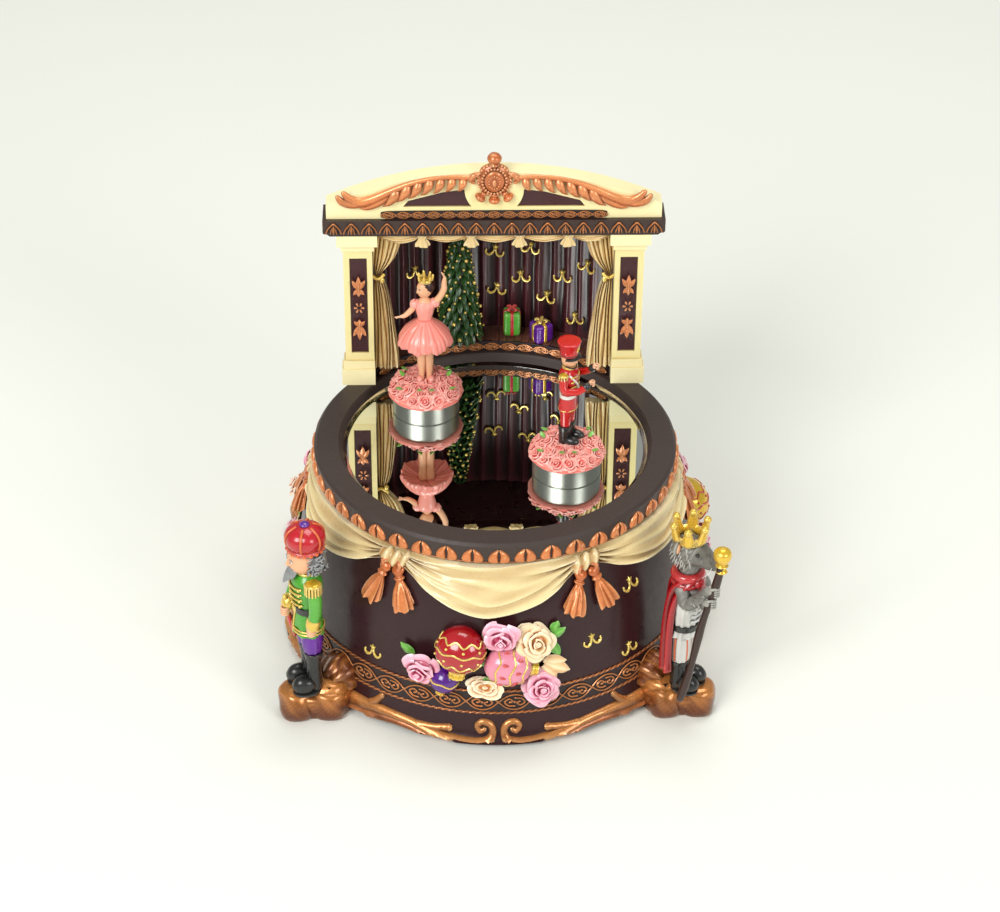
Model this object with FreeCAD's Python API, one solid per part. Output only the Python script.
import FreeCAD, Part
import math
import os

# A cast-resin music box shaped like a small theatre.  A round drum stands on four scrolled feet
# and carries a mirror stage; a curtained alcove rises from its back edge.  A spring movement in
# the drum turns a carrier under the mirror, and magnets on it drag two dancers over the glass.
#
# Millimetres, +Z up, the audience at -Y.  The origin is the drum's axis at table level.
# An azimuth is measured around the drum from the front (-Y) towards +X.

V = FreeCAD.Vector
UP = V(0, 0, 1)

# ---------------------------------------------------------------- driving dimensions
# drum
DRUM_BOTTOM = 1.5
DRUM_TOP = 58.8
FLARE_RADIUS = 64.0
LOWER_ROPE_Z, LOWER_ROPE_R = 10.5, 60.1
UPPER_ROPE_Z, UPPER_ROPE_R = 17.75, 59.2
SHOULDER_RADIUS = 51.8
FRONT_CORNER_AZ = 49.0
FOOT_RADIUS = 73.3
FOOT_TOP = 10.5
RIB_TOP, RIB_RADIUS = 15.0, 5.5
ARCH_RADIUS, ARCH_HEIGHT, ARCH_OFFSET = 60.0, 4.0, 27.0

# mirror and its ring
RING_OUTER, RING_LIP, RING_TOP = 53.35, 45.7, 65.5
MIRROR_RADIUS, MIRROR_SHOWN, MIRROR_THICK, MIRROR_TOP = 47.0, 44.75, 2.0, 62.35
SHELF_INNER = 42.0
LEAF_COUNT = 45
LEAF_BAND_Z = (59.7, 63.5)
LEAF_STAND_OUT = 0.9

# drapery and its tassels, between evenly spaced knots
KNOT_COUNT = 6
KNOT_PITCH = 360.0 / KNOT_COUNT
KNOT_AZ = 27.0
KNOT_Z = 57.0
FRONT_SWAG_LOW, SIDE_SWAG_LOW = 44.0, 48.0
SWAG_THICK = 2.2

# bouquets on the drum
BOUQUET_AZ = (0.0, 112.0, -117.0)

# stage
RISER_RADIUS = 47.4
STAGE_FLOOR = 68.5
ALCOVE_RADIUS, ALCOVE_WALL = 58.0, 2.5
ALCOVE_HALF = 41.5
ALCOVE_OUTER_HALF = 44.4
PILASTER_FRONT, PILASTER_BACK = 29.6, 34.0
PILASTER_X = (35.8, 44.4)
CAPITAL_Z, CAPITAL_TOP = 112.0, 117.9
CORNICE_HALF, CORNICE_FRONT, CORNICE_TOP = 50.0, 27.0, 123.5
PEDIMENT_HALF, PEDIMENT_FRONT, PEDIMENT_BACK = 48.9, 28.4, 34.4
PEDIMENT_END, PEDIMENT_APEX = 128.0, 138.7
ROUNDEL_RADIUS, ROUNDEL_Z = 8.6, 133.0
STAR_RADIUS = 1.9
TREE_AT = (-10.0, 50.0)
ROOF_THICK = 2.5

# dancers: place on the mirror, in plan
BALLERINA_AT = (-20.42, 20.67)
SOLDIER_AT = (20.56, -12.27)
DISC_RADIUS, DISC_HEIGHT = 10.0, 6.15
BASE_RADIUS, BASE_TOP = 11.0, 73.7
BASE_BOTTOM = MIRROR_TOP + DISC_HEIGHT

# movement
COVER_BOTTOM, COVER_TOP, COVER_RADIUS = 11.5, 14.0, 56.6
RIM_WIDTH = 1.8
BED_TOP = 16.5
BOSS_RADIUS = 51.0
BOSS_AZ = (45, 135, 225, 315)
SCREW_R = 1.25
RUNNING = 0.05
ARBOR_R = 1.6
BARREL_BOTTOM, BARREL_TOP, BARREL_R = 18.0, 32.5, 13.8
SHAFT_R = 2.0
RING_TEETH, GOVERNOR_TEETH, FINE_MODULE = 60, 12, 0.5
CROWN_TEETH, CROWN_PINION_TEETH, CROWN_RADIUS = 36, 9, 12.0
CROWN_TOOTH_HEIGHT = 1.6
CYLINDER_R, CYLINDER_X = 6.5, (19.0, 42.0)
COMB_TEETH = 18
COMB_THICK = 0.9
BRIDGE_Z = (41.5, 43.5)
GEAR_Z = (46.5, 49.5)
SUN_TEETH, BALLERINA_TEETH, SOLDIER_TEETH, MODULE = 24, 34, 24, 1.0
CARRIER_Z = (51.0, 53.5)
MAGNET_Z = (54.5, 59.6)
MAGNET_R = 9.0

PINION_RADIUS = CROWN_RADIUS * CROWN_PINION_TEETH / CROWN_TEETH
CYLINDER_Z = BARREL_TOP + CROWN_TOOTH_HEIGHT / 2 + PINION_RADIUS
GOVERNOR_X = -FINE_MODULE * (RING_TEETH + GOVERNOR_TEETH) / 2


# ---------------------------------------------------------------- helpers
def box(x0, x1, y0, y1, z0, z1):
    return Part.makeBox(x1 - x0, y1 - y0, z1 - z0, V(x0, y0, z0))


def rod(r, start, end):
    """Round bar between two points."""
    start, end = V(*start), V(*end)
    return Part.makeCylinder(r, (end - start).Length, start, end - start)


def ball(r, x, y, z):
    return Part.makeSphere(r, V(x, y, z))


def blob(x, y, z, rx, ry, rz):
    """Ellipsoid with its axes along X, Y and Z."""
    shape = Part.makeSphere(1.0)
    scale = FreeCAD.Matrix()
    scale.scale(V(rx, ry, rz))
    shape = shape.transformGeometry(scale)
    shape.translate(V(x, y, z))
    return shape


def lathe(profile, x=0.0, y=0.0):
    """Turned solid from (radius, z) corners joined by straight lines."""
    points = [V(x + r, y, z) for r, z in profile]
    points.append(points[0])
    return Part.Face(Part.makePolygon(points)).revolve(V(x, y, 0), UP, 360)


def curved_lathe(side, x=0.0, y=0.0):
    """Turned solid whose side is a smooth curve through (radius, z) points."""
    points = [V(x + r, y, z) for r, z in side]
    curve = Part.BSplineCurve()
    curve.interpolate(points)
    low, high = V(x, y, side[0][1]), V(x, y, side[-1][1])
    edges = [Part.makeLine(low, points[0]), curve.toShape(), Part.makeLine(points[-1], high),
             Part.makeLine(high, low)]
    return Part.Face(Part.Wire(edges)).revolve(V(x, y, 0), UP, 360)


def prism(outline, y0, y1):
    """Plate with an (x, z) outline, from y0 to y1."""
    points = [V(x, y0, z) for x, z in outline]
    points.append(points[0])
    return Part.Face(Part.makePolygon(points)).extrude(V(0, y1 - y0, 0))


def slab(outline, z0, z1):
    """Plate with an (x, y) outline, from z0 to z1."""
    points = [V(x, y, z0) for x, y in outline]
    points.append(points[0])
    return Part.Face(Part.makePolygon(points)).extrude(V(0, 0, z1 - z0))


def union(shapes):
    first = shapes[0]
    if len(shapes) == 1:
        return first
    return first.multiFuse(shapes[1:]).removeSplitter()


def turned(shape, angle, x=0.0, y=0.0):
    """Copy turned about a vertical line."""
    result = shape.copy()
    result.rotate(V(x, y, 0), UP, angle)
    return result


def mirrored(shape):
    """Copy on the other side of the object's middle plane."""
    return shape.mirror(V(0, 0, 0), V(1, 0, 0))


def on_drum(az, r):
    """Plan position at an azimuth and radius."""
    a = math.radians(az)
    return r * math.sin(a), -r * math.cos(a)


def save(name, *shapes):
    solids = []
    for shape in shapes:
        solids.extend(shape.Solids)
    if not solids:
        raise ValueError(name + " has no solid")
    result = solids[0] if len(solids) == 1 else Part.makeCompound(solids)
    result.exportStep("parts/" + name + ".step")


# ---------------------------------------------------------------- drum
DRUM_SIDE = [(FLARE_RADIUS, DRUM_BOTTOM), (62.0, 3.4), (60.9, 6.5), (LOWER_ROPE_R, LOWER_ROPE_Z),
             (UPPER_ROPE_R, UPPER_ROPE_Z), (58.9, 25.0), (58.2, 35.0), (56.3, 45.0), (54.0, 52.0),
             (SHOULDER_RADIUS, DRUM_TOP)]


def drum_form(grow=0.0):
    """The drum's outer form as one solid, grown outwards by a skin thickness."""
    return curved_lathe([(r + grow, z) for r, z in DRUM_SIDE])


def drum_side_radius(z):
    """Rough outer radius of the drum at a height."""
    for (r0, z0), (r1, z1) in zip(DRUM_SIDE, DRUM_SIDE[1:]):
        if z <= z1:
            return r0 + (r1 - r0) * (z - z0) / (z1 - z0)
    return SHOULDER_RADIUS


def corner_azimuths():
    return [FRONT_CORNER_AZ, 180 - FRONT_CORNER_AZ, 180 + FRONT_CORNER_AZ, -FRONT_CORNER_AZ]


def buttress(height):
    """Round-topped rib that joins the drum to a foot, modelled at the front."""
    r, y, low = RIB_RADIUS, -60.5, 4.5
    column = Part.makeCylinder(r, height - r - low, V(0, y, low)).fuse(ball(r, 0, y, height - r))
    ledge = box(-4.5, 4.5, -69.0, y, low, FOOT_TOP)
    return column.fuse(ledge).removeSplitter()


def corner_ribs():
    return [turned(buttress(RIB_TOP), az) for az in corner_azimuths()]


def make_drum_shell(ribs):
    step_z = COVER_TOP
    inner = COVER_RADIUS + 0.3
    cavity = lathe([(0, 0), (inner, 0), (inner, step_z), (54.4, step_z), (55.6, 25), (54.8, 35),
                    (52.8, 45), (50.4, 52), (48.4, 56.5), (0, 56.5)])
    shell = drum_form().multiFuse(ribs).cut(cavity)
    shelf = Part.makeCylinder(46.9, MIRROR_TOP - MIRROR_THICK - DRUM_TOP + 0.8, V(0, 0, DRUM_TOP - 0.8))
    mouth = Part.makeCylinder(SHELF_INNER, 10, V(0, 0, 55))
    shell = shell.fuse(shelf).cut(mouth)
    for az in BOSS_AZ:
        x, y = on_drum(az, BOSS_RADIUS)
        boss = Part.makeCylinder(3.6, 12, V(x, y, step_z))
        pilot = Part.makeCylinder(SCREW_R + 0.1, 9, V(x, y, step_z))
        shell = shell.fuse(boss).cut(pilot)
    # shallow arches between the feet and the low point of each side
    low = ARCH_HEIGHT - ARCH_RADIUS
    for side in range(4):
        for off in (-ARCH_OFFSET, ARCH_OFFSET):
            x, y = on_drum(90 * side + off, 50)
            x2, y2 = on_drum(90 * side + off, 90)
            shell = shell.cut(rod(ARCH_RADIUS, (x, y, low), (x2, y2, low)))
    # inner rim that stands on the table behind the arches
    rim = lathe([(inner, 0), (inner + RIM_WIDTH, 0), (inner + RIM_WIDTH, 6), (inner, 6)])
    return shell.fuse(rim).removeSplitter()


def foot_lobes():
    """Two rounded lobes side by side, flat underneath, at the front."""
    lobes = []
    for side in (-1, 1):
        lobes.append(blob(side * 4.9, -FOOT_RADIUS, 5.4, 6.4, 6.6, 6.0))
    lobes.append(blob(0, -(FOOT_RADIUS - 6), 5.0, 6.5, 7.0, 5.2))
    foot = union(lobes)
    return foot.common(box(-20, 20, -90, -50, 0, FOOT_TOP))


def make_feet(drum, ribs):
    foot = foot_lobes().cut(drum)
    return [turned(foot, az).cut(rib) for az, rib in zip(corner_azimuths(), ribs)]


def pipe_on_drum(stations):
    """Round trim of changing thickness, laid on the drum through (azimuth, z, thickness) stations."""
    pieces = []
    spots = []
    for az, z, r in stations:
        x, y = on_drum(az, drum_side_radius(z) + 0.3)
        spots.append((x, y, z, r))
        pieces.append(ball(r, x, y, z))
    for (x0, y0, z0, r0), (x1, y1, z1, r1) in zip(spots, spots[1:]):
        step = V(x1 - x0, y1 - y0, z1 - z0)
        if abs(r0 - r1) < 0.01:
            pieces.append(rod(r0, (x0, y0, z0), (x1, y1, z1)))
        else:
            pieces.append(Part.makeCone(r0, r1, step.Length, V(x0, y0, z0), step))
    return union(pieces)


def make_scroll_trim(drum, corners):
    """Branch-like scroll from each foot that curls up at the middle of each side."""
    stem = [(-40, 3.6, 1.7), (-33, 4.6, 1.2), (-24, 3.9, 1.2), (-16, 2.4, 1.3), (-9, 1.9, 1.4),
            (-3.5, 2.3, 1.5), (-1.9, 4.6, 1.4), (-2.9, 7.4, 1.2), (-5.3, 7.8, 1.0), (-5.9, 6.0, 0.9)]
    twig = [(-33, 4.6, 1.0), (-29, 7.4, 0.8)]
    above_table = box(-90, 90, -90, 90, 0.3, 20)
    left = pipe_on_drum(stem).fuse(pipe_on_drum(twig)).common(above_table).cut(drum)
    branches = []
    for side in range(4):
        branches.append(turned(left, 90 * side).cut(corners[side - 1]))
        branches.append(turned(mirrored(left), 90 * side).cut(corners[side]))
    return branches


def make_rope_bands():
    """Two rings of rope, rounded outside and flat where they lie on the drum."""
    half, stand_out, gap = 0.75, 0.9, 0.05
    bands = []
    for z in (LOWER_ROPE_Z, UPPER_ROPE_Z):
        low, high = drum_side_radius(z - half) + gap, drum_side_radius(z + half) + gap
        crown = (low + high) / 2 + stand_out
        shoulder = crown - 0.3 * stand_out
        bands.append(lathe([(low, z - half), (shoulder, z - 0.7 * half), (crown, z),
                            (shoulder, z + 0.7 * half), (high, z + half)]))
    return bands


def make_filigree(drum):
    """Pierced copper band between the two rope lines."""
    low, high = LOWER_ROPE_Z + 1.0, UPPER_ROPE_Z - 1.0
    skin = drum_form(0.5).cut(drum).common(Part.makeCylinder(80, high - low, V(0, 0, low)))
    middle = (low + high) / 2
    count, hole_radius = 40, 1.7
    for i in range(count):
        x, y = on_drum(360 / count * i, 66)
        skin = skin.cut(rod(hole_radius, (0, 0, middle), (x, y, middle)))
    return skin


def make_swags(drum):
    """Draped cloth between the knots, thickest at its folds."""
    skin = drum_form(SWAG_THICK).cut(drum)
    half = math.radians(KNOT_PITCH / 2)
    width = (SHOULDER_RADIUS + 4.5) * math.sin(half)
    pieces = []
    for i in range(KNOT_COUNT):
        low = FRONT_SWAG_LOW if i == 0 else SIDE_SWAG_LOW
        outline = [(-width + 1.5, 58.3), (width - 1.5, 58.3)]
        for t in (0.92, 0.8, 0.6, 0.35, 0.1, -0.1, -0.35, -0.6, -0.8, -0.92):
            outline.append((t * width, 56.0 - (56.0 - low) * (1 - t * t)))
        swag = skin.common(prism(outline, -75, -20))
        pieces.append(turned(swag, KNOT_AZ - KNOT_PITCH / 2 + KNOT_PITCH * i))
    return pieces


def make_knots(drum, taken):
    knot = blob(0, -(drum_side_radius(KNOT_Z) + 1.6), KNOT_Z, 4.4, 2.6, 2.6).cut(drum)
    knot = knot.common(box(-9, 9, -75, -20, 50, DRUM_TOP - 0.1))
    return [turned(knot, KNOT_AZ + KNOT_PITCH * i).cut(taken) for i in range(KNOT_COUNT)]


def make_tassels(drum):
    """A pair of splayed tassels under each knot."""
    pairs = []
    for side in (-1, 1):
        head = ball(1.9, side * 2.2, -(drum_side_radius(52) + 2.2), 52.0)
        top = V(side * 2.4, -(drum_side_radius(51) + 2.0), 51.6)
        tip = V(side * 6.0, -(drum_side_radius(40) + 1.6), 40.5)
        skirt = Part.makeCone(1.4, 2.9, (tip - top).Length, top, tip - top)
        pairs.append(head.fuse(skirt))
    both = union(pairs).cut(drum)
    return [turned(both, KNOT_AZ + KNOT_PITCH * i) for i in range(KNOT_COUNT)]


def make_bouquets(drum):
    """Roses, glass ornaments and leaves, the same arrangement three times."""
    layout = [("ornament", -10.3, 33.7, 7.0), ("ornament", 2.4, 28.8, 5.6), ("rose", 0.3, 39.0, 4.9),
              ("rose", 10.1, 36.3, 4.9), ("rose", 11.3, 20.6, 4.9), ("rose", -21.0, 25.8, 4.8),
              ("ornament", -14.9, 22.7, 3.9), ("leaf", -3.3, 20.2, 3.1), ("leaf", 17.5, 25.0, 3.6),
              ("leaf", 15.5, 33.5, 2.6), ("leaf", -26.0, 30.5, 2.4)]
    placed = []
    groups = {"rose": [], "ornament": [], "leaf": []}
    for kind, az, z, r in layout:
        x, y = on_drum(az, drum_side_radius(z) + r * 0.45)
        lump = ball(r, x, y, z).cut(drum)
        for other in placed:
            lump = lump.cut(other)
        placed.append(lump)
        groups[kind].append(lump)
    sets = {}
    for kind, lumps in groups.items():
        sets[kind] = [turned(lump, az) for az in BOUQUET_AZ for lump in lumps]
    return sets


# ---------------------------------------------------------------- figures at the front feet
def make_guard_doll(taken):
    """Standing guard in coat, tall cap and boots, its back to the left buttress."""
    az = -FRONT_CORNER_AZ
    x, y = on_drum(az, FOOT_RADIUS + 0.2)
    coat = curved_lathe([(4.6, 29.9), (4.6, 33.0), (4.2, 37.6), (5.4, 43.0), (4.6, 47.5), (2.4, 49.5)],
                        x, y)
    head = curved_lathe([(2.6, 49.0), (4.6, 51.0), (5.0, 55.0), (4.6, 58.5)], x, y)
    cap = curved_lathe([(5.0, 58.0), (6.0, 60.5), (5.6, 64.5), (3.2, 67.0), (0.6, 68.0)], x, y)
    legs = []
    for side in (-1, 1):
        lx, ly = on_drum(az + side * 2.2, FOOT_RADIUS + 0.2)
        legs.append(Part.makeCylinder(2.6, 22.0, V(lx, ly, 9.0)))
        tx, ty = on_drum(az + side * 2.4, FOOT_RADIUS + 4.0)
        legs.append(ball(3.2, tx, ty, 11.6))
        ax, ay = on_drum(az + side * 4.9, FOOT_RADIUS)
        legs.append(rod(1.9, (ax, ay, 47.0), (ax, ay, 31.5)))
    return union([coat, head, cap] + legs).cut(taken)


def make_crowned_mouse(taken):
    """Standing mouse with a crown, a cape and long boots, its back to the right buttress."""
    x, y = on_drum(FRONT_CORNER_AZ, FOOT_RADIUS - 1.5)
    body = curved_lathe([(4.6, 19.0), (4.9, 26.0), (4.2, 32.0), (5.0, 38.0), (4.8, 44.0), (3.0, 52.0)],
                        x, y)
    sx, sy = on_drum(FRONT_CORNER_AZ, FOOT_RADIUS + 5.5)
    head = ball(5.0, x, y, 55.0).fuse(Part.makeCone(4.2, 1.0, 7.0, V(x, y, 54.5), V(sx - x, sy - y, -2)))
    crown = Part.makeCone(3.4, 4.4, 10.8, V(x, y, 58.2), UP)
    cape = rod(2.2, (x - 4.8, y - 0.5, 47.0), (x - 5.8, y + 1.5, 16.0))
    parts = [body, head, crown, cape]
    for side in (-1, 1):
        lx, ly = on_drum(FRONT_CORNER_AZ + side * 2.2, FOOT_RADIUS - 1.0)
        parts.append(Part.makeCylinder(2.7, 13.0, V(lx, ly, 8.5)))
        tx, ty = on_drum(FRONT_CORNER_AZ + side * 2.4, FOOT_RADIUS + 3.0)
        parts.append(ball(3.2, tx, ty, 11.6))
    return union(parts).cut(taken)


def make_staff(taken):
    """Leaning staff with a ball on top."""
    foot, top, radius, knob = (52.7, -56.6, 11.5), (62.3, -54.6, 60.0), 1.2, 2.7
    staff = rod(radius, foot, top).fuse(ball(knob, 62.6, -54.5, 62.2))
    return staff.cut(taken)


# ---------------------------------------------------------------- mirror and ring
def make_mirror():
    return Part.makeCylinder(MIRROR_RADIUS, MIRROR_THICK, V(0, 0, MIRROR_TOP - MIRROR_THICK))


def make_bezel():
    seat = MIRROR_RADIUS + 0.2
    return lathe([(seat, DRUM_TOP), (RING_OUTER - 0.5, DRUM_TOP), (RING_OUTER, DRUM_TOP + 0.5),
                  (RING_OUTER, RING_TOP - 0.8), (RING_OUTER - 0.8, RING_TOP), (RING_LIP + 0.5, RING_TOP),
                  (RING_LIP, RING_TOP - 0.5), (MIRROR_SHOWN, MIRROR_TOP), (seat, MIRROR_TOP)])


def make_bezel_leaves():
    low, high = LEAF_BAND_Z
    middle = (low + high) / 2
    outline = []
    for i in range(12):
        a = math.radians(30 * i)
        outline.append((2.9 * math.sin(a) * (1.15 - 0.25 * math.cos(a)) * 0.9, middle - 1.9 * math.cos(a)))
    face = RING_OUTER + LEAF_STAND_OUT
    band = lathe([(RING_OUTER, low - 1), (face, low - 1), (face, high + 1), (RING_OUTER, high + 1)])
    leaf = prism(outline, -58, -48).common(band)
    pitch = 360.0 / LEAF_COUNT
    return [turned(leaf, pitch * i) for i in range(LEAF_COUNT)]


# ---------------------------------------------------------------- stage
def alcove_plan(half, radius, front):
    """Plan outline: straight sides from the front that run into a round back."""
    y = math.sqrt(radius * radius - half * half)
    start, middle, end = V(half, y, 0), V(0, radius, 0), V(-half, y, 0)
    edges = [Part.makeLine(V(half, front, 0), start), Part.Arc(start, middle, end).toShape(),
             Part.makeLine(end, V(-half, front, 0)), Part.makeLine(V(-half, front, 0), V(half, front, 0))]
    return Part.Face(Part.Wire(edges))


def raised(face, z0, z1):
    face = face.copy()
    face.translate(V(0, 0, z0))
    return face.extrude(V(0, 0, z1 - z0))


def make_stage_wall():
    outer = alcove_plan(ALCOVE_OUTER_HALF, ALCOVE_RADIUS + ALCOVE_WALL, PILASTER_BACK + 0.5)
    inner = alcove_plan(ALCOVE_HALF, ALCOVE_RADIUS, PILASTER_BACK)
    wall = raised(outer, RING_TOP, CAPITAL_TOP).cut(raised(inner, RING_TOP - 1, CAPITAL_TOP - ROOF_THICK))
    return wall.cut(box(-ALCOVE_HALF, ALCOVE_HALF, 20, PILASTER_BACK + 1.6, RING_TOP, CAPITAL_TOP + 1))


def make_stage_floor():
    plan = alcove_plan(ALCOVE_HALF - 0.1, ALCOVE_RADIUS - 0.1, 28.0)
    floor = raised(plan, RING_TOP, STAGE_FLOOR)
    floor = floor.cut(Part.makeCylinder(RISER_RADIUS + 0.6, 20, V(0, 0, 60)))
    for side in (-1, 1):
        x0, x1 = sorted((side * 35.4, side * 60))
        floor = floor.cut(box(x0, x1, 20, PILASTER_BACK + 0.6, 60, 80))
    return max(floor.Solids, key=lambda solid: solid.Volume)


def make_riser_band():
    """Pierced copper band on the curved front of the stage."""
    inner, outer, top = RISER_RADIUS, RISER_RADIUS + 0.6, STAGE_FLOOR + 0.3
    ring = lathe([(inner, RING_TOP), (outer, RING_TOP), (outer, top), (inner, top)])
    band = ring.common(box(-35.3, 35.3, 20, 60, 60, 80))
    middle = (RING_TOP + STAGE_FLOOR) / 2
    for i in range(-10, 11):
        x, y = on_drum(180 + 4.5 * i, 60)
        band = band.cut(rod(0.9, (0, 0, middle), (x, y, middle)))
    return band


def make_right_pilaster():
    x0, x1 = PILASTER_X
    front, back = PILASTER_FRONT, PILASTER_BACK
    foot = box(x0 - 0.2, x1 + 1.2, front - 1.0, back + 0.4, RING_TOP, 71.0)
    step = box(x0 - 0.1, x1 + 0.6, front - 0.5, back + 0.2, 71.0, 73.8)
    shaft = box(x0, x1, front, back, 73.8, CAPITAL_Z)
    pocket = box(37.4, 42.6, front - 1, front + 0.8, 76.5, 109.4)
    cap_low = box(x0 - 0.6, x1 + 0.6, front - 0.4, back, CAPITAL_Z, CAPITAL_Z + 2.0)
    cap_high = box(34.2, 46.2, front - 1.4, back, CAPITAL_Z + 2.0, CAPITAL_TOP)
    return union([foot, step, shaft.cut(pocket), cap_low, cap_high])


def make_cornice():
    half, inset, lip_z = CORNICE_HALF, 2.0, CAPITAL_TOP + 1.6
    outline = [(inset - half, CAPITAL_TOP), (half - inset, CAPITAL_TOP), (half, lip_z), (half, CORNICE_TOP),
               (-half, CORNICE_TOP), (-half, lip_z)]
    body = prism(outline, CORNICE_FRONT, PILASTER_BACK + 3.0)
    return body.cut(box(-60, 60, 20, CORNICE_FRONT + 0.9, CAPITAL_TOP - 1, CAPITAL_TOP + 1.2))


def make_cornice_leaves():
    """Row of pointed leaves on the front of the cornice."""
    count, pitch = 19, 5.2
    leaves = []
    for i in range(count):
        x = (i - (count - 1) / 2) * pitch
        outline = [(x, 119.4), (x + 2.1, 121.6), (x + 1.4, 122.9), (x - 1.4, 122.9), (x - 2.1, 121.6)]
        leaves.append(prism(outline, CORNICE_FRONT - 0.7, CORNICE_FRONT))
    return leaves


def make_pediment():
    corner = V(PEDIMENT_HALF, PEDIMENT_FRONT, PEDIMENT_END)
    apex = V(0, PEDIMENT_FRONT, PEDIMENT_APEX)
    far = V(-PEDIMENT_HALF, PEDIMENT_FRONT, PEDIMENT_END)
    low_right = V(PEDIMENT_HALF, PEDIMENT_FRONT, CORNICE_TOP)
    low_left = V(-PEDIMENT_HALF, PEDIMENT_FRONT, CORNICE_TOP)
    edges = [Part.makeLine(low_left, low_right), Part.makeLine(low_right, corner),
             Part.Arc(corner, apex, far).toShape(), Part.makeLine(far, low_left)]
    body = Part.Face(Part.Wire(edges)).extrude(V(0, PEDIMENT_BACK - PEDIMENT_FRONT, 0))
    for window in pediment_windows(0.0, 1.0):
        body = body.cut(window)
    return body


def pediment_windows(clear, depth):
    """The two recessed fields beside the middle roundel, each shrunk by a clearance."""
    outline = [(5.0, 127.4 + clear), (26.5 - clear, 127.4 + clear), (25.0 - clear, 129.4 - clear),
               (15.0, 132.2 - clear), (5.0, 133.6 - clear)]
    roundel = rod(ROUNDEL_RADIUS + clear, (0, PEDIMENT_FRONT - 1, ROUNDEL_Z), (0, PEDIMENT_BACK, ROUNDEL_Z))
    right = prism(outline, PEDIMENT_FRONT, PEDIMENT_FRONT + depth).cut(roundel)
    return [right, mirrored(right)]


def make_plum_inlays():
    right = box(37.6, 42.4, PILASTER_FRONT + 0.3, PILASTER_FRONT + 0.8, 76.7, 109.2)
    fields = [piece.copy() for piece in pediment_windows(0.1, 0.5)]
    for piece in fields:
        piece.translate(V(0, 0.5, 0))
    return [right, mirrored(right)] + fields


def make_frieze():
    """Pierced strip of trim along the foot of the pediment."""
    half, pitch, z = 33.0, 3.1, CORNICE_TOP + 1.4
    strip = box(-half, half, PEDIMENT_FRONT - 0.5, PEDIMENT_FRONT, CORNICE_TOP + 0.1, CORNICE_TOP + 2.7)
    for i in range(-10, 11):
        strip = strip.cut(rod(0.75, (pitch * i, 20, z), (pitch * i, 40, z)))
    return strip


def make_acanthus():
    """Leafy scroll along each half of the pediment."""
    upper = [(6.5, 137.4), (14.0, 137.2), (22.0, 135.6), (30.0, 132.6), (37.0, 130.0), (42.6, 131.6),
             (44.0, 130.0)]
    lower = [(43.0, 127.4), (38.5, 126.8), (36.0, 128.2), (33.5, 127.6), (30.0, 129.6), (27.0, 129.4),
             (23.5, 131.8), (20.0, 131.8), (16.5, 134.0), (11.0, 134.6), (6.5, 135.0)]
    right = prism(upper + lower, PEDIMENT_FRONT - 1.8, PEDIMENT_FRONT)
    return [right, mirrored(right)]


def make_cartouche():
    shield = blob(0, PEDIMENT_FRONT - 0.4, 136.8, 5.2, 2.9, 5.6)
    finial = ball(2.2, 0, 27.0, 143.3)
    lobes = [ball(1.8, x, PEDIMENT_FRONT - 0.6, z) for x, z in ((-3.6, 131.8), (0, 130.9), (3.6, 131.8))]
    whole = union([shield, finial] + lobes)
    return whole.common(box(-9, 9, 20, PEDIMENT_FRONT, 120, 150))


def make_valance():
    """Gathered pelmet of small swags under the cornice."""
    count, pitch, half = 4, 14.3, 33.9
    hem, depth = 115.9, 1.7
    outline = [(-half, CAPITAL_TOP - 0.1), (half, CAPITAL_TOP - 0.1), (half, hem)]
    start = (count + 1) / 2 * pitch
    for swag in range(count + 1):
        for part in (0.25, 0.5, 0.75, 1.0):
            x = start - (swag + part) * pitch
            if abs(x) < half - 0.4:
                outline.append((x, hem - depth * math.sin(math.pi * part)))
    outline.append((-half, hem))
    return prism(outline, 29.4, 31.2)


def make_right_curtain():
    """Curtain tied back at two thirds of its height."""
    foot = STAGE_FLOOR + 0.2
    outline = [(35.5, 117.7), (27.0, 117.7), (27.0, 113.6), (29.8, 106.0), (33.2, 101.3), (31.0, 95.0),
               (29.4, 84.0), (28.4, 75.0), (29.0, foot), (35.3, foot)]
    curtain = prism(outline, 31.8, 35.4)
    return curtain.cut(Part.makeCylinder(RISER_RADIUS + 0.7, 6, V(0, 0, 64)))


def make_tree():
    """Fir tree of four tiers on a short trunk."""
    x, y = TREE_AT
    trunk = Part.makeCylinder(1.0, 4.0, V(x, y, STAGE_FLOOR))
    tiers = [Part.makeCone(6.2, 3.0, 12, V(x, y, 71.5)), Part.makeCone(5.4, 2.4, 12, V(x, y, 80.0)),
             Part.makeCone(4.4, 1.6, 12, V(x, y, 89.0)), Part.makeCone(3.2, 0.4, 13, V(x, y, 98.0))]
    return union([trunk] + tiers)


def make_star(az, z, wall_radius, outwards):
    """Small five-pointed mark, raised from a round wall."""
    outline = []
    for i in range(10):
        r = STAR_RADIUS if i % 2 == 0 else 0.45 * STAR_RADIUS
        a = math.radians(36 * i)
        outline.append((r * math.sin(a), z + r * math.cos(a)))
    skin = Part.makeCylinder(wall_radius + (0.5 if outwards else 0), 10, V(0, 0, z - 5))
    skin = skin.cut(Part.makeCylinder(wall_radius - (0 if outwards else 0.5), 10, V(0, 0, z - 5)))
    return turned(prism(outline, -70, -40).common(skin), az)


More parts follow.
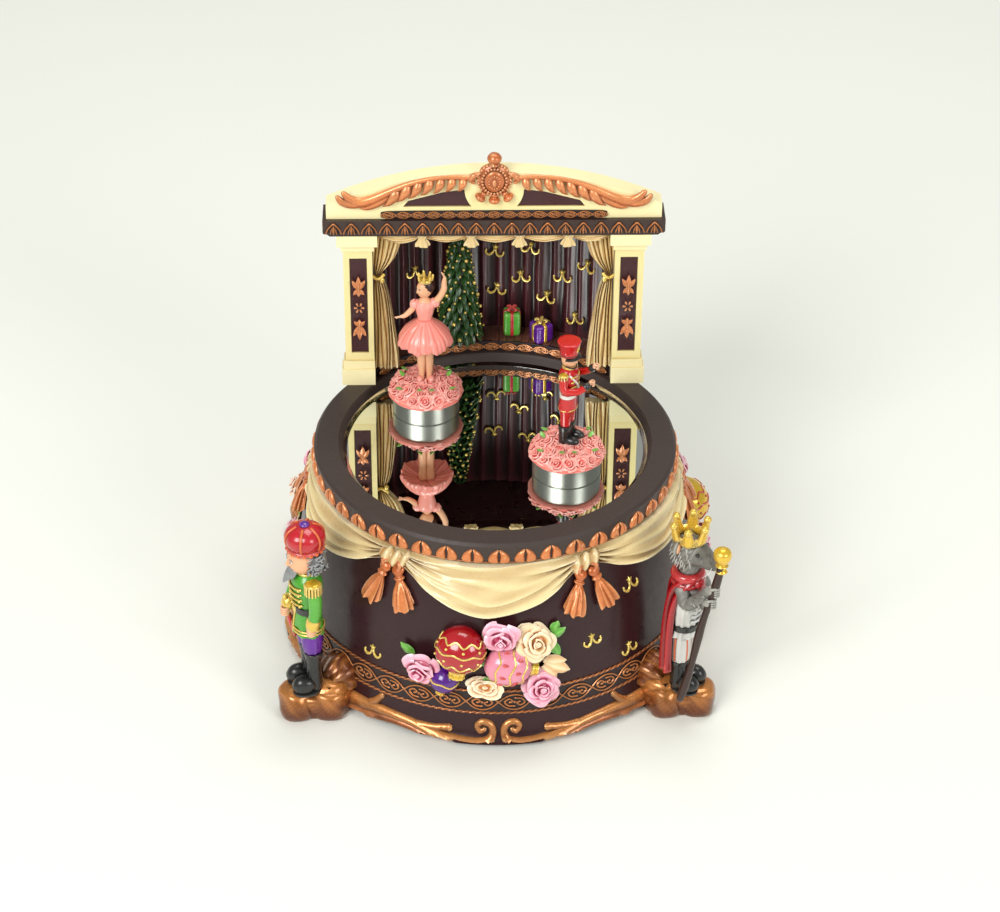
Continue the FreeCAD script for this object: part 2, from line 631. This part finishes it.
def make_gold_stars(drum):
    wall_marks = [(-155.6, 91.4), (179.0, 95.8), (178.3, 82.2), (170.9, 86.9), (157.7, 89.0), (162.8, 80.7),
                  (153.2, 74.9), (149.7, 94.6), (168.0, 97.5)]
    drum_marks = [(-37.7, 22.6), (27.3, 30.5), (42.0, 43.7), (40.4, 21.9), (150, 30), (-150, 30), (180, 25),
                  (75, 24), (-80, 24)]
    marks = [make_star(az, z, ALCOVE_RADIUS, False) for az, z in wall_marks]
    skin = drum_form(0.6).cut(drum)
    for az, z in drum_marks:
        outline = []
        for i in range(5):
            a = math.radians(72 * i)
            outline.append((STAR_RADIUS * math.sin(a), z + STAR_RADIUS * math.cos(a)))
        marks.append(turned(prism(outline, -75, -20).common(skin), az))
    return marks


# ---------------------------------------------------------------- dancers
def rounded_disc(r, low, high, edge, x, y):
    """Disc with small bevels on both edges."""
    profile = [(0, low), (r - edge, low), (r, low + edge), (r, high - edge), (r - edge, high), (0, high)]
    return lathe(profile, x, y)


def make_disc(at):
    """Magnet that glides on the mirror under a dancer."""
    return rounded_disc(DISC_RADIUS, MIRROR_TOP, BASE_BOTTOM, 0.3, *at)


def make_rose_base(at):
    """Domed mound under a dancer's feet."""
    r = BASE_RADIUS
    profile = [(0, BASE_BOTTOM), (r - 0.6, BASE_BOTTOM), (r, BASE_BOTTOM + 1.0), (r - 0.2, BASE_BOTTOM + 2.6),
               (r - 1.8, BASE_TOP - 0.6), (r - 4.0, BASE_TOP), (0, BASE_TOP)]
    return lathe(profile, *at)


def make_ballerina():
    """Dancer on both feet, one arm raised and one held out."""
    x, y = BALLERINA_AT
    legs = [rod(1.1, (x + side * 1.3, y, BASE_TOP), (x + side * 0.9, y, 88.5)) for side in (-1, 1)]
    skirt = lathe([(0, 86.2), (8.0, 86.2), (8.2, 88.0), (3.0, 92.6), (2.1, 93.8), (0, 93.8)], x, y)
    torso = curved_lathe([(2.1, 93.5), (2.9, 97.5), (2.4, 100.2), (1.0, 101.5)], x, y)
    head = ball(3.0, x, y, 104.3)
    crown = Part.makeCone(1.8, 2.3, 2.6, V(x, y, 106.7), UP)
    raised_arm = rod(0.9, (x + 2.2, y, 99.6), (x + 5.6, y - 0.5, 104.5)).fuse(
        rod(0.8, (x + 5.6, y - 0.5, 104.5), (x + 5.4, y - 0.5, 110.0)))
    low_arm = rod(0.9, (x - 2.2, y, 99.4), (x - 7.6, y - 1.0, 95.6))
    return union(legs + [skirt, torso, head, crown, raised_arm, low_arm])


def make_soldier():
    """Toy soldier standing at ease with both hands before the chest."""
    x, y = SOLDIER_AT
    coat = lathe([(0, 84.2), (3.0, 84.2), (3.1, 87.0), (2.6, 89.2), (3.5, 94.0), (2.6, 97.4), (1.3, 98.6),
                  (0, 98.6)], x, y)
    head = lathe([(0, 98.2), (1.6, 98.2), (2.6, 99.5), (2.7, 100.7), (2.2, 102.6), (0, 102.6)], x, y)
    hat = lathe([(0, 102.2), (2.5, 102.2), (3.3, 107.8), (0, 107.8)], x, y)
    parts = [coat, head, hat]
    for side in (-1, 1):
        foot_x = x + side * 1.7
        parts.append(Part.makeCylinder(1.5, 11.0, V(foot_x, y, BASE_TOP)))
        parts.append(box(foot_x - 1.3, foot_x + 1.3, y - 3.4, y + 0.6, BASE_TOP, BASE_TOP + 2.2))
    parts.append(rod(1.0, (x + 2.4, y - 0.3, 95.4), (x + 6.6, y - 1.5, 97.8)))
    parts.append(rod(1.0, (x - 2.2, y - 1.6, 95.2), (x + 3.2, y - 4.2, 92.6)))
    return union(parts)


# ---------------------------------------------------------------- movement
def involute(angle):
    return math.tan(angle) - angle


def gear_outline(teeth, module, phase, addendum=0.8, dedendum=1.1, backlash=0.14):
    """Corners of an involute gear whose first tooth points along an angle in degrees."""
    pitch_r = teeth * module / 2
    base_r = pitch_r * math.cos(math.radians(20))
    tip_r, root_r = pitch_r + addendum * module, pitch_r - dedendum * module
    half_at_pitch = math.pi / (2 * teeth) - backlash * module / (2 * pitch_r)
    half_at_base = half_at_pitch + involute(math.radians(20))
    flank = []
    for i in range(5):
        r = max(base_r, root_r) + (tip_r - max(base_r, root_r)) * i / 4
        flank.append((r, half_at_base - involute(math.acos(min(1.0, base_r / r)))))
    if root_r < base_r:
        flank.insert(0, (root_r, half_at_base))
    corners = []
    for tooth in range(teeth):
        middle = math.radians(phase) + 2 * math.pi * tooth / teeth
        for r, half in flank:
            corners.append((r * math.cos(middle - half), r * math.sin(middle - half)))
        for r, half in reversed(flank):
            corners.append((r * math.cos(middle + half), r * math.sin(middle + half)))
    return corners


def gear(teeth, module, phase, z0, z1, x=0.0, y=0.0):
    return slab([(x + px, y + py) for px, py in gear_outline(teeth, module, phase)], z0, z1)


def meshing_phase(direction, teeth, partner_teeth, partner_phase):
    """Phase that puts a gear, seen from its partner in a direction, tooth to gap with it."""
    partner_pitch, own_pitch = 360.0 / partner_teeth, 360.0 / teeth
    offset = ((direction - partner_phase) / partner_pitch) % 1.0
    return direction + 180.0 - (0.5 - offset) * own_pitch


def screw(x, y, head_z, length, head_r=2.3):
    """Screw whose head is underneath, its shank pointing up."""
    head = Part.makeCylinder(head_r, 1.4, V(x, y, head_z - 1.4))
    slot = box(x - 3, x + 3, y - 0.3, y + 0.3, head_z - 1.5, head_z - 0.9)
    return head.cut(slot).fuse(Part.makeCylinder(SCREW_R, length, V(x, y, head_z)))


COVER_SCREWS = [on_drum(az, BOSS_RADIUS) for az in BOSS_AZ]
MOVEMENT_SCREWS = [(-20.0, 12.0), (-20.0, -12.0), (36.0, -14.0)]
COMB_SCREWS = [(23.0, 27.5), (38.0, 27.5)]
COMB_SEAT = CYLINDER_Z - 0.45


def make_bottom_cover():
    cover = Part.makeCylinder(COVER_RADIUS, COVER_TOP - COVER_BOTTOM, V(0, 0, COVER_BOTTOM))
    cover = cover.cut(Part.makeCylinder(4.0, 10, V(0, 0, 8)))
    for x, y in COVER_SCREWS + MOVEMENT_SCREWS:
        cover = cover.cut(Part.makeCylinder(SCREW_R + 0.15, 10, V(x, y, 8)))
    return cover


def make_bedplate():
    outline = [(-28, -12), (-10, -24), (30, -24), (47, -10), (47, 12), (43, 31), (10, 31), (-10, 24),
               (-28, 12)]
    plate = slab(outline, COVER_TOP, BED_TOP)
    comb_block = box(19.0, 42.0, 23.0, 31.0, BED_TOP, COMB_SEAT)
    plate = plate.fuse(comb_block)
    plate = plate.cut(Part.makeCylinder(ARBOR_R + RUNNING, 10, V(0, 0, 10)))
    plate = plate.cut(Part.makeCylinder(0.8 + RUNNING, 10, V(GOVERNOR_X, 0, COVER_TOP + 0.6)))
    for x, y in MOVEMENT_SCREWS:
        plate = plate.cut(Part.makeCylinder(SCREW_R + 0.05, 10, V(x, y, 8)))
    for x, y in COMB_SCREWS:
        plate = plate.cut(Part.makeCylinder(SCREW_R + 0.05, 6, V(x, y, COMB_SEAT - 5)))
    return plate


def make_movement_screws():
    screws = [screw(x, y, COVER_BOTTOM, 4.6) for x, y in MOVEMENT_SCREWS]
    for x, y in COMB_SCREWS:
        upright = screw(0, 0, 0, 4.6)
        upright.rotate(V(0, 0, 0), V(1, 0, 0), 180)
        upright.translate(V(x, y, COMB_SEAT + COMB_THICK))
        screws.append(upright)
    return screws


def make_comb():
    """Steel comb: a back plate with one tuned tooth per note, longest for the lowest note."""
    plate = box(19.3, 41.7, 23.0, 31.0, COMB_SEAT, COMB_SEAT + COMB_THICK)
    pitch = (CYLINDER_X[1] - CYLINDER_X[0] - 1.6) / COMB_TEETH
    teeth = []
    for i in range(COMB_TEETH):
        x = CYLINDER_X[0] + 0.8 + pitch * (i + 0.5)
        teeth.append(box(x - 0.42, x + 0.42, CYLINDER_R + 0.95, 23.5, COMB_SEAT, COMB_SEAT + COMB_THICK))
    comb = union([plate] + teeth)
    for x, y in COMB_SCREWS:
        comb = comb.cut(Part.makeCylinder(SCREW_R + 0.15, 10, V(x, y, COMB_SEAT - 5)))
    return comb


def make_pin_cylinder():
    """Pinned cylinder on its shaft, with the pinion that the barrel's crown teeth drive."""
    axis_z = CYLINDER_Z
    body = rod(CYLINDER_R, (CYLINDER_X[0], 0, axis_z), (CYLINDER_X[1], 0, axis_z))
    shaft = rod(1.0, (9.8, 0, axis_z), (46.2, 0, axis_z))
    hub = rod(2.0, (10.9, 0, axis_z), (13.1, 0, axis_z))
    parts = [body, shaft, hub]
    for i in range(CROWN_PINION_TEETH):
        tooth = box(10.9, 13.1, -0.27, 0.27, axis_z - 3.6, axis_z - 1.5)
        tooth.rotate(V(0, 0, axis_z), V(1, 0, 0), 360.0 * i / CROWN_PINION_TEETH)
        parts.append(tooth)
    pitch = (CYLINDER_X[1] - CYLINDER_X[0] - 1.6) / COMB_TEETH
    for i in range(COMB_TEETH):
        x = CYLINDER_X[0] + 0.8 + pitch * (i + 0.5)
        for turn in range(3):
            pin = rod(0.22, (x, 0, axis_z + CYLINDER_R - 0.5), (x, 0, axis_z + CYLINDER_R + 0.7))
            pin.rotate(V(0, 0, axis_z), V(1, 0, 0), 137.5 * i + 47.0 + 120.0 * turn)
            parts.append(pin)
    return union(parts)


def make_cylinder_bearings():
    bearings = []
    for x0 in (15.9, 43.6):
        post = box(x0, x0 + 1.7, -4, 4, BED_TOP, CYLINDER_Z + 2.6)
        bore = rod(1.0 + RUNNING, (x0 - 1, 0, CYLINDER_Z), (x0 + 3, 0, CYLINDER_Z))
        bearings.append(post.cut(bore))
    return bearings


def make_spring_barrel():
    """Spring housing with a geared rim, crown teeth on its lid and the output shaft."""
    body = lathe([(0, BARREL_BOTTOM), (BARREL_R, BARREL_BOTTOM), (BARREL_R, BARREL_TOP), (0, BARREL_TOP)])
    rim = gear(RING_TEETH, FINE_MODULE, 0.0, BARREL_BOTTOM + 0.5, BARREL_BOTTOM + 3.5)
    shaft = rod(SHAFT_R, (0, 0, BARREL_TOP - 0.5), (0, 0, CARRIER_Z[1]))
    parts = [body, rim, shaft]
    pitch = 360.0 / CROWN_TEETH
    tooth = box(CROWN_RADIUS - 1.1, CROWN_RADIUS + 1.1, -0.27, 0.27, BARREL_TOP - 0.3,
                BARREL_TOP + CROWN_TOOTH_HEIGHT)
    for i in range(CROWN_TEETH):
        parts.append(turned(tooth, pitch * (i + 0.5)))
    hollow = Part.makeCylinder(12.4, 11.0, V(0, 0, BARREL_BOTTOM + 2.0))
    bore = Part.makeCylinder(ARBOR_R + RUNNING, 4.0, V(0, 0, BARREL_BOTTOM - 1))
    return union(parts).cut(hollow).cut(bore)


def make_mainspring():
    """Flat coiled spring inside the barrel."""
    inner_r, outer_r, turns, thick = 2.7, 12.1, 7, 0.45
    steps = turns * 10

    def spiral(offset):
        points = []
        for i in range(steps + 1):
            a = 2 * math.pi * turns * i / steps
            r = inner_r + (outer_r - thick - inner_r) * i / steps + offset
            points.append(V(r * math.cos(a), r * math.sin(a), BARREL_BOTTOM + 2.6))
        curve = Part.BSplineCurve()
        curve.interpolate(points)
        return curve.toShape(), points[0], points[-1]

    near, near_start, near_end = spiral(0.0)
    far, far_start, far_end = spiral(thick)
    wire = Part.Wire([near, Part.makeLine(near_end, far_end), far, Part.makeLine(far_start, near_start)])
    return Part.Face(wire).extrude(V(0, 0, 9.8))


def make_barrel_bridge():
    """Bridge over the barrel that carries the top of the output shaft and the sun gear."""
    bar = box(-4, 4, -22.5, 22.5, BRIDGE_Z[0], BRIDGE_Z[1])
    pillars = [rod(2.2, (0, y, BED_TOP), (0, y, BRIDGE_Z[0])) for y in (-19.5, 19.5)]
    caps = [rod(2.6, (0, y, BRIDGE_Z[1]), (0, y, BRIDGE_Z[1] + 1.3)) for y in (-19.5, 19.5)]
    bore = Part.makeCylinder(SHAFT_R + RUNNING, 10, V(0, 0, BRIDGE_Z[0] - 2))
    return union([bar] + pillars + caps).cut(bore)


def make_governor_frame():
    """Bracket that holds the top of the fan's arbor."""
    post = box(-28.0, -25.6, -3, 3, BED_TOP, 44.0)
    arm = box(-28.0, -15.8, -2.2, 2.2, 42.0, 44.0)
    bore = Part.makeCylinder(0.8 + RUNNING, 6, V(GOVERNOR_X, 0, 40))
    return post.fuse(arm).removeSplitter().cut(bore)


def make_governor_fan():
    """Air brake that keeps the movement's speed steady."""
    pinion_phase = meshing_phase(180.0, GOVERNOR_TEETH, RING_TEETH, 0.0)
    x = GOVERNOR_X
    arbor = rod(0.8, (x, 0, COVER_TOP + 0.8), (x, 0, 44.6))
    pinion = gear(GOVERNOR_TEETH, FINE_MODULE, pinion_phase, BARREL_BOTTOM + 0.5, BARREL_BOTTOM + 3.5, x, 0)
    vanes = box(x - 6.8, x + 6.8, -0.25, 0.25, 35.8, 40.4)
    hub = rod(1.8, (x, 0, 35.2), (x, 0, 41.0))
    return union([arbor, pinion, vanes, hub])


def make_winding_key():
    """Butterfly key under the drum on the arbor that winds the spring."""
    stem = rod(ARBOR_R, (0, 0, 8.0), (0, 0, BARREL_BOTTOM + 12.0))
    collar = rod(2.8, (0, 0, 6.0), (0, 0, 11.0))
    wings = []
    for side in (-1, 1):
        wing = rod(3.8, (side * 7.2, -0.8, 6.2), (side * 7.2, 0.8, 6.2))
        web = box(min(0, side * 7.2), max(0, side * 7.2), -0.8, 0.8, 4.4, 8.6)
        hole = rod(1.7, (side * 7.6, -3, 6.2), (side * 7.6, 3, 6.2))
        wings.append(wing.fuse(web).cut(hole))
    return union([stem, collar] + wings)


def make_sun_gear():
    wheel = gear(SUN_TEETH, MODULE, 0.0, GEAR_Z[0], GEAR_Z[1])
    hub = Part.makeCylinder(5.0, GEAR_Z[0] - BRIDGE_Z[1], V(0, 0, BRIDGE_Z[1]))
    return wheel.fuse(hub).cut(Part.makeCylinder(SHAFT_R + 0.4, 20, V(0, 0, 40)))


def direction_of(at):
    return math.degrees(math.atan2(at[1], at[0]))


def planet_place(at, teeth):
    """Centre of a planet gear, on the dancer's direction at the meshing distance."""
    a = math.radians(direction_of(at))
    r = MODULE * (SUN_TEETH + teeth) / 2
    return r * math.cos(a), r * math.sin(a)


def make_planet(at, teeth):
    x, y = planet_place(at, teeth)
    phase = meshing_phase(direction_of(at), teeth, SUN_TEETH, 0.0)
    wheel = gear(teeth, MODULE, phase, GEAR_Z[0], GEAR_Z[1], x, y)
    for i in range(5):
        a = math.radians(72 * i)
        hole_x, hole_y = x + 6.6 * math.cos(a), y + 6.6 * math.sin(a)
        wheel = wheel.cut(Part.makeCylinder(1.8, 20, V(hole_x, hole_y, 40)))
    spindle = rod(2.0, (x, y, GEAR_Z[1]), (x, y, MAGNET_Z[0]))
    shoulder = rod(3.2, (x, y, GEAR_Z[1]), (x, y, GEAR_Z[1] + 1.2))
    return union([wheel, spindle, shoulder])


def make_drive_magnet(at, teeth):
    """Magnet that the carrier swings under the mirror."""
    return rounded_disc(MAGNET_R, MAGNET_Z[0], MAGNET_Z[1], 0.4, *planet_place(at, teeth))


def make_carrier():
    """Two-armed turntable on the output shaft, with a bush for each planet spindle."""
    low, high = CARRIER_Z
    parts = [Part.makeCylinder(7.0, high - low, V(0, 0, low))]
    spots = [planet_place(BALLERINA_AT, BALLERINA_TEETH), planet_place(SOLDIER_AT, SOLDIER_TEETH)]
    for x, y in spots:
        reach = math.hypot(x, y)
        arm = box(0, reach, -3.2, 3.2, low, high)
        parts.append(turned(arm, math.degrees(math.atan2(y, x))))
        parts.append(Part.makeCylinder(4.6, high - low, V(x, y, low)))
    carrier = union(parts).cut(Part.makeCylinder(SHAFT_R, 20, V(0, 0, low - 5)))
    for x, y in spots:
        carrier = carrier.cut(Part.makeCylinder(2.0 + RUNNING, 20, V(x, y, low - 5)))
    return carrier


# ---------------------------------------------------------------- write every piece
def write_drum_pieces():
    drum = drum_form()
    ribs = corner_ribs()
    all_ribs = Part.makeCompound(ribs)
    save("drum_shell", make_drum_shell(ribs))
    feet = make_feet(drum, ribs)
    corners = [foot.fuse(rib) for foot, rib in zip(feet, ribs)]
    save("corner_feet", *feet)
    save("scroll_trim", *make_scroll_trim(drum, corners))
    ropes = [band.cut(all_ribs) for band in make_rope_bands()]
    filigree = make_filigree(drum).cut(all_ribs)
    save("rope_bands", *ropes)
    save("filigree_band", filigree)
    swags = make_swags(drum)
    save("swags", *swags)
    knots = make_knots(drum, Part.makeCompound(swags))
    save("swag_knots", *knots)
    save("tassels", *make_tassels(drum))
    bouquets = make_bouquets(drum)
    behind = Part.makeCompound(ropes + [filigree, swags[0]])
    for name, kind in (("roses", "rose"), ("ornaments", "ornament"), ("bouquet_leaves", "leaf")):
        save(name, *[lump.cut(behind) for lump in bouquets[kind]])
    right_support = ribs[0].fuse(feet[0])
    left_support = ribs[3].fuse(feet[3])
    mouse = make_crowned_mouse(right_support)
    save("guard_doll", make_guard_doll(left_support))
    save("crowned_mouse", mouse)
    save("mouse_staff", make_staff(mouse))
    save("gold_stars", *make_gold_stars(drum))


def write_stage_pieces():
    save("mirror", make_mirror())
    save("mirror_bezel", make_bezel())
    save("bezel_leaves", *make_bezel_leaves())
    save("stage_floor", make_stage_floor())
    save("riser_band", make_riser_band())
    save("stage_wall", make_stage_wall())
    right = make_right_pilaster()
    save("right_pilaster", right)
    save("left_pilaster", mirrored(right))
    save("plum_inlays", *make_plum_inlays())
    save("cornice", make_cornice())
    save("cornice_leaves", *make_cornice_leaves())
    frieze = make_frieze()
    save("frieze_band", frieze)
    save("pediment", make_pediment())
    scrolls = make_acanthus()
    cartouche = make_cartouche().cut(Part.makeCompound(scrolls))
    save("acanthus_scrolls", *scrolls)
    save("cartouche", cartouche)
    save("valance", make_valance())
    curtain = make_right_curtain().cut(make_valance()).cut(right)
    save("curtains", curtain, mirrored(curtain))
    save("tree", make_tree())
    save("green_gift", box(3.5, 9.0, 50.0, 55.5, STAGE_FLOOR, 77.5))
    save("purple_gift", turned(box(12.2, 18.2, 46.0, 51.5, STAGE_FLOOR, 75.6), -20, 15.2, 48.8))


def write_dancers():
    dancers = [("ballerina", BALLERINA_AT, make_ballerina()), ("soldier", SOLDIER_AT, make_soldier())]
    for name, at, figure in dancers:
        base = make_rose_base(at)
        save(name + "_disc", make_disc(at))
        save(name + "_base", base)
        save(name + "_figure", figure.cut(base))


def write_movement():
    save("bottom_cover", make_bottom_cover())
    save("cover_screws", *[screw(x, y, COVER_BOTTOM, 9.0) for x, y in COVER_SCREWS])
    save("bedplate", make_bedplate())
    save("movement_screws", *make_movement_screws())
    save("comb", make_comb())
    save("pin_cylinder", make_pin_cylinder())
    save("cylinder_bearings", *make_cylinder_bearings())
    save("spring_barrel", make_spring_barrel())
    save("mainspring", make_mainspring())
    save("barrel_bridge", make_barrel_bridge())
    save("governor_frame", make_governor_frame())
    save("governor_fan", make_governor_fan())
    save("winding_key", make_winding_key())
    save("sun_gear", make_sun_gear())
    save("carrier", make_carrier())
    save("ballerina_planet", make_planet(BALLERINA_AT, BALLERINA_TEETH))
    save("ballerina_drive_magnet", make_drive_magnet(BALLERINA_AT, BALLERINA_TEETH))
    save("soldier_planet", make_planet(SOLDIER_AT, SOLDIER_TEETH))
    save("soldier_drive_magnet", make_drive_magnet(SOLDIER_AT, SOLDIER_TEETH))


os.makedirs("parts", exist_ok=True)
write_drum_pieces()
write_stage_pieces()
write_dancers()
write_movement()
